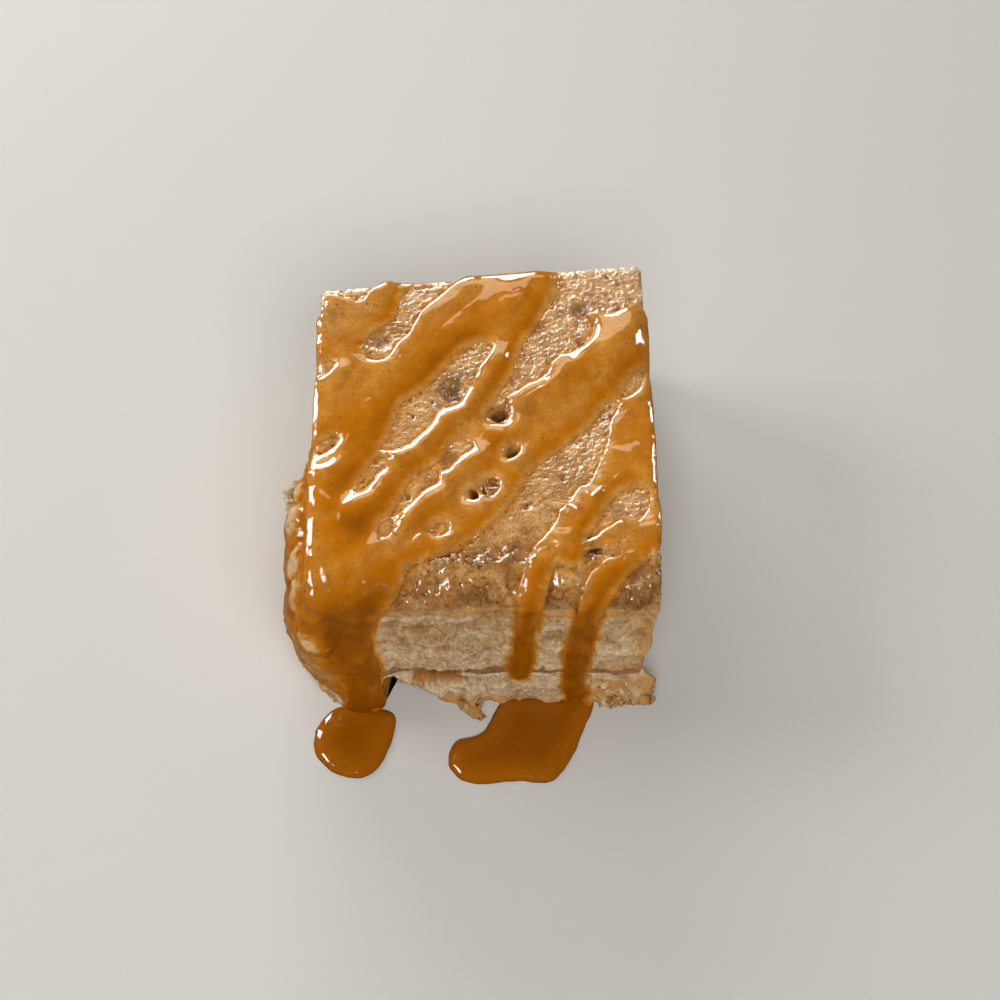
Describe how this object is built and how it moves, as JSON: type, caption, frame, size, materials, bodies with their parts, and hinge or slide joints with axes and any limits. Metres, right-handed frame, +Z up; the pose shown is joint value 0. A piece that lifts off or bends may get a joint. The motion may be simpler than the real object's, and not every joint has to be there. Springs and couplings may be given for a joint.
{
  "type": "bread pudding",
  "caption": "Square slice of bread pudding in layers, with caramel sauce poured over its crust, down its front and into puddles at its foot.",
  "frame": {"origin": "middle of the bounding box's underside, on the surface that the slice stands on", "axes": "+Z up; the front, with the sauce runs and the puddles, faces -Y; +X to the right"},
  "size_m": [0.078, 0.0962, 0.0424],
  "materials": {
    "pale_crumb": "torn crumb of custard-soaked bread, pale, matt and open",
    "dark_custard": "set custard, brown and slightly moist",
    "browned_crust": "baked custard crust with spice, brown, moist and pitted",
    "caramel": "thick caramel sauce, amber, wet and very glossy"
  },
  "bodies": {
    "root": {"lower_bread": "pale_crumb", "custard_seam": "dark_custard", "upper_bread": "pale_crumb", "spiced_crust": "browned_crust", "caramel_sauce": "caramel", "corner_puddle": "caramel", "front_puddle": "caramel"}
  },
  "joints": []
}
